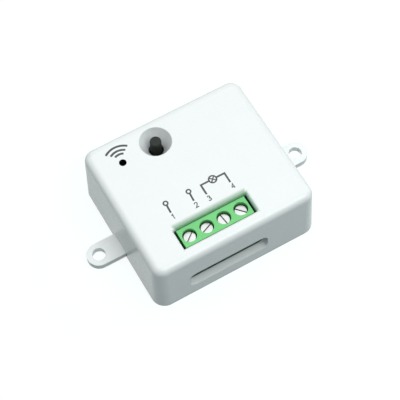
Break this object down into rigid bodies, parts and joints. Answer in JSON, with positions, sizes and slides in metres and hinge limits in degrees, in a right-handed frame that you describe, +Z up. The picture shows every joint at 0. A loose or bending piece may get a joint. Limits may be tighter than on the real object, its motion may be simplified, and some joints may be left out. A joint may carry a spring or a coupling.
{
  "type": "smart relay module",
  "caption": "Small white radio relay box with mounting ears, a green screw terminal in a window, a wire slot, a push button in a funnel and a status light hole.",
  "frame": {"origin": "centre of the case's foot, on the face that rests on the wall", "axes": "+X along the two mounting ears, -Y towards the wire slot, +Z up through the top cover"},
  "size_m": [0.0684, 0.0434, 0.0189],
  "materials": {
    "white_shell": "moulded white plastic with a fine satin surface",
    "green_housing": "moulded light green plastic",
    "plated_screw": "bright plated steel",
    "brass_clamp": "stamped brass",
    "tinned_metal": "tinned sheet and wire",
    "black_stem": "moulded black plastic",
    "dark_plastic": "moulded dark plastic",
    "spring_brass": "rolled spring alloy",
    "circuit_board": "lacquered laminate",
    "light_lens": "clear cast lens",
    "relay_shell": "moulded blue plastic",
    "pale_bobbin": "moulded pale plastic",
    "copper_winding": "enamelled copper wire",
    "soft_iron": "plated soft iron",
    "ferrite": "pressed ferrite",
    "capacitor_sleeve": "shrunk sleeve on a metal can",
    "rubber_seal": "moulded rubber",
    "varistor_coat": "dipped coating",
    "resistor_coat": "dipped coating",
    "chip_ceramic": "fired ceramic"
  },
  "bodies": {
    "case": {"top_cover": "white_shell", "base_plate": "white_shell", "main_board": "circuit_board", "terminal_housing": "green_housing", "terminal_contacts": "tinned_metal", "switch_base": "dark_plastic", "switch_frame": "tinned_metal", "switch_dome": "spring_brass", "switch_legs": "tinned_metal", "status_led": "light_lens", "relay_base": "dark_plastic", "relay_case": "relay_shell", "relay_bobbin": "pale_bobbin", "relay_winding": "copper_winding", "relay_core": "soft_iron", "relay_yoke": "soft_iron", "relay_return_spring": "tinned_metal", "relay_fixed_contact": "spring_brass", "relay_coil_pins": "tinned_metal", "transformer_core": "ferrite", "transformer_bobbin": "dark_plastic", "transformer_winding": "copper_winding", "transformer_pins": "tinned_metal", "bulk_capacitors": "capacitor_sleeve", "bulk_capacitor_seals": "rubber_seal", "bulk_capacitor_leads": "tinned_metal", "output_capacitors": "capacitor_sleeve", "output_capacitor_seals": "rubber_seal", "output_capacitor_leads": "tinned_metal", "varistor": "varistor_coat", "varistor_leads": "tinned_metal", "fuse_resistor": "resistor_coat", "fuse_resistor_leads": "tinned_metal", "bridge_rectifier": "dark_plastic", "power_chip": "dark_plastic", "voltage_regulator": "dark_plastic", "relay_driver": "dark_plastic", "flyback_diode": "dark_plastic", "radio_board": "circuit_board", "radio_shield": "tinned_metal", "radio_chip": "dark_plastic", "chip_resistors": "dark_plastic", "chip_capacitors": "chip_ceramic"},
    "screw_1": {"terminal_screw_1": "plated_screw"},
    "clamp_1": {"wire_clamp_1": "brass_clamp"},
    "screw_2": {"terminal_screw_2": "plated_screw"},
    "clamp_2": {"wire_clamp_2": "brass_clamp"},
    "screw_3": {"terminal_screw_3": "plated_screw"},
    "clamp_3": {"wire_clamp_3": "brass_clamp"},
    "screw_4": {"terminal_screw_4": "plated_screw"},
    "clamp_4": {"wire_clamp_4": "brass_clamp"},
    "button": {"button_stem": "black_stem"},
    "armature": {"relay_armature": "soft_iron", "relay_contact_arm": "spring_brass"}
  },
  "joints": [
    {"name": "screw_1_turn", "type": "hinge", "parent": "case", "child": "screw_1", "pos_m": [-0.01048, -0.01437, 0.0166], "axis": [0, 0, -1], "range_deg": [0, 1920]},
    {"name": "clamp_1_lift", "type": "slide", "parent": "case", "child": "clamp_1", "axis": [0, 0, 1], "range_m": [0, 0.0024]},
    {"name": "screw_2_turn", "type": "hinge", "parent": "case", "child": "screw_2", "pos_m": [-0.0054, -0.01437, 0.0166], "axis": [0, 0, -1], "range_deg": [0, 1920]},
    {"name": "clamp_2_lift", "type": "slide", "parent": "case", "child": "clamp_2", "axis": [0, 0, 1], "range_m": [0, 0.0024]},
    {"name": "screw_3_turn", "type": "hinge", "parent": "case", "child": "screw_3", "pos_m": [-0.00032, -0.01437, 0.0166], "axis": [0, 0, -1], "range_deg": [0, 1920]},
    {"name": "clamp_3_lift", "type": "slide", "parent": "case", "child": "clamp_3", "axis": [0, 0, 1], "range_m": [0, 0.0024]},
    {"name": "screw_4_turn", "type": "hinge", "parent": "case", "child": "screw_4", "pos_m": [0.00476, -0.01437, 0.0166], "axis": [0, 0, -1], "range_deg": [0, 1920]},
    {"name": "clamp_4_lift", "type": "slide", "parent": "case", "child": "clamp_4", "axis": [0, 0, 1], "range_m": [0, 0.0024]},
    {"name": "button_press", "type": "slide", "parent": "case", "child": "button", "axis": [0, 0, -1], "range_m": [0, 0.00025], "stiffness_N_per_m": 6400, "deforming": ["switch_dome"]},
    {"name": "armature_swing", "type": "hinge", "parent": "case", "child": "armature", "pos_m": [0.01512, -0.00967, 0.007], "axis": [-1, 0, 0], "range_deg": [0, 5], "stiffness_Nm_per_rad": 0.01, "springref_deg": -5.73, "deforming": ["relay_return_spring"]}
  ],
  "couplings": [
    {"joint": "screw_1_turn", "follows": "clamp_1_lift", "rad_per_m": 13963},
    {"joint": "screw_2_turn", "follows": "clamp_2_lift", "rad_per_m": 13963},
    {"joint": "screw_3_turn", "follows": "clamp_3_lift", "rad_per_m": 13963},
    {"joint": "screw_4_turn", "follows": "clamp_4_lift", "rad_per_m": 13963}
  ]
}
